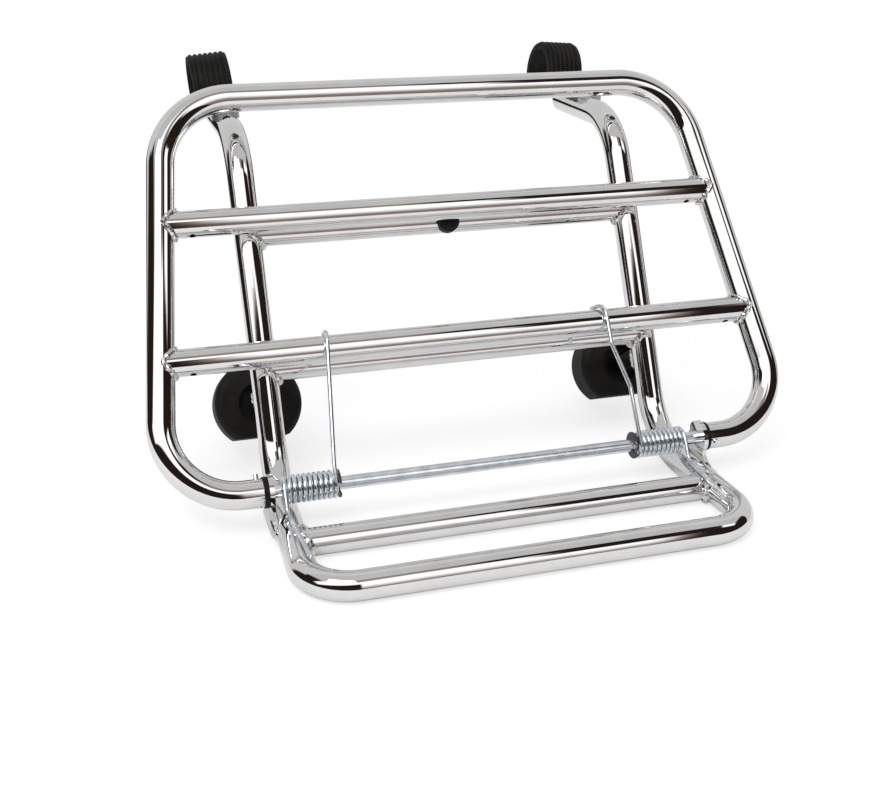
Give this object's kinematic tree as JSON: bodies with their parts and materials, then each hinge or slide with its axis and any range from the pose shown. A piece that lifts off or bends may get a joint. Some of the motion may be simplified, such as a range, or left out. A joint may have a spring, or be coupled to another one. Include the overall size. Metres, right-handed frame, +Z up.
{
  "type": "motorcycle luggage rack",
  "caption": "Chrome tube luggage rack with a sprung fold-down flap, rubber-covered hooks and round rubber pads.",
  "frame": {"origin": "middle of the footprint, on the lowest point of the base loop", "axes": "+X along the hinge rod, -Y towards the side the flap folds down to, +Z up"},
  "size_m": [0.3864, 0.347, 0.2322],
  "materials": {
    "chrome": "polished chrome plate on steel tube",
    "zinc": "bright zinc plate",
    "zinc_strip": "bright zinc plate",
    "spring_steel": "zinc-plated spring wire",
    "rubber": "satin black rubber",
    "black_plastic": "satin black",
    "black_steel": "black oxide"
  },
  "bodies": {
    "base": {"main_frame": "chrome", "upper_back_crossbar": "chrome", "lower_back_crossbar": "chrome", "base_crossbar": "chrome", "hinge_bracket_left": "chrome", "hinge_bracket_right": "chrome", "pad_stub_left": "chrome", "pad_stub_right": "chrome", "rubber_pad_left": "rubber", "rubber_pad_right": "rubber", "pad_screw_left": "zinc", "pad_screw_right": "zinc", "hook_strip_left": "zinc_strip", "hook_strip_right": "zinc_strip", "hook_sleeve_left": "rubber", "hook_sleeve_right": "rubber", "hook_screw_left": "zinc", "hook_screw_right": "zinc", "tube_plug_left": "chrome", "tube_plug_right": "chrome", "stop_button": "rubber", "torsion_spring_left": "spring_steel", "torsion_spring_right": "spring_steel"},
    "flap": {"flap_frame": "chrome", "flap_upper_crossbar": "chrome", "flap_lower_crossbar": "chrome", "hinge_rod": "zinc", "rod_bush_left": "zinc", "rod_bush_right": "zinc", "rod_pin_left": "zinc", "rod_pin_right": "zinc", "hinge_washer_left": "black_plastic", "hinge_washer_right": "black_plastic", "spring_ring_left": "black_steel", "spring_ring_right": "black_steel"}
  },
  "joints": [
    {"name": "flap_fold", "type": "hinge", "parent": "base", "child": "flap", "pos_m": [0, -0.0845, 0.025], "axis": [1, 0, 0], "range_deg": [0, 122], "stiffness_Nm_per_rad": 0.5, "springref_deg": -40.11, "deforming": ["torsion_spring_left", "torsion_spring_right"]}
  ]
}
